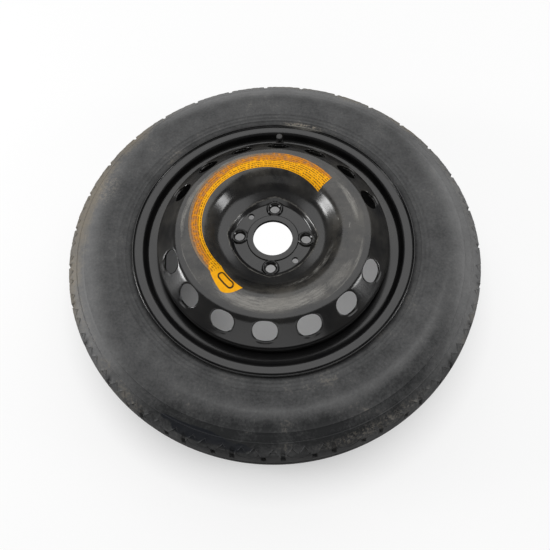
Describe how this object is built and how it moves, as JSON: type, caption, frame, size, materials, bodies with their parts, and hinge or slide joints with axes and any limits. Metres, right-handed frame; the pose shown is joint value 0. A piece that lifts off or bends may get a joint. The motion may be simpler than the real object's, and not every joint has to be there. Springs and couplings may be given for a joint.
{
  "type": "spare wheel",
  "caption": "Narrow temporary spare wheel lying flat: dusty black tyre on a vented pressed-steel wheel with a snap-in valve and a worn yellow arc label.",
  "frame": {"origin": "centre of the hub mounting face, on the spin axis", "axes": "+Z along the spin axis, out of the vehicle and up as the wheel lies; the valve is on the +Y side"},
  "size_m": [0.606, 0.606, 0.1427],
  "materials": {
    "tyre_rubber": "dusty matt",
    "black_painted_steel": "satin black paint",
    "printed_film": "worn satin film",
    "valve_rubber": "moulded rubber",
    "brass": "turned brass",
    "spring_steel": "drawn wire",
    "seal_rubber": "moulded rubber",
    "cap_plastic": "moulded plastic"
  },
  "bodies": {
    "wheel": {"tyre": "tyre_rubber", "rim_barrel": "black_painted_steel", "wheel_disc": "black_painted_steel", "weld_beads": "black_painted_steel", "crown_label": "printed_film", "valve_rubber": "valve_rubber", "valve_stem": "brass", "valve_core": "brass", "core_spring": "spring_steel"},
    "pin": {"core_pin": "brass"},
    "washer": {"cap_seal": "seal_rubber"},
    "cap": {"valve_cap": "cap_plastic"}
  },
  "joints": [
    {"name": "pin_press", "type": "slide", "parent": "wheel", "child": "pin", "axis": [0, 0.2079, -0.9781], "range_m": [0, 0.0015], "stiffness_N_per_m": 800, "springref_m": -0.002, "deforming": ["core_spring"]},
    {"name": "cap_lift", "type": "slide", "parent": "wheel", "child": "washer", "axis": [0, -0.2079, 0.9781], "range_m": [0, 0.00794]},
    {"name": "cap_turn", "type": "hinge", "parent": "washer", "child": "cap", "pos_m": [0, 0.179, -0.00327], "axis": [0, -0.2079, 0.9781], "range_deg": [0, 3610]}
  ],
  "couplings": [
    {"joint": "cap_turn", "follows": "cap_lift", "rad_per_m": 7915.8}
  ]
}
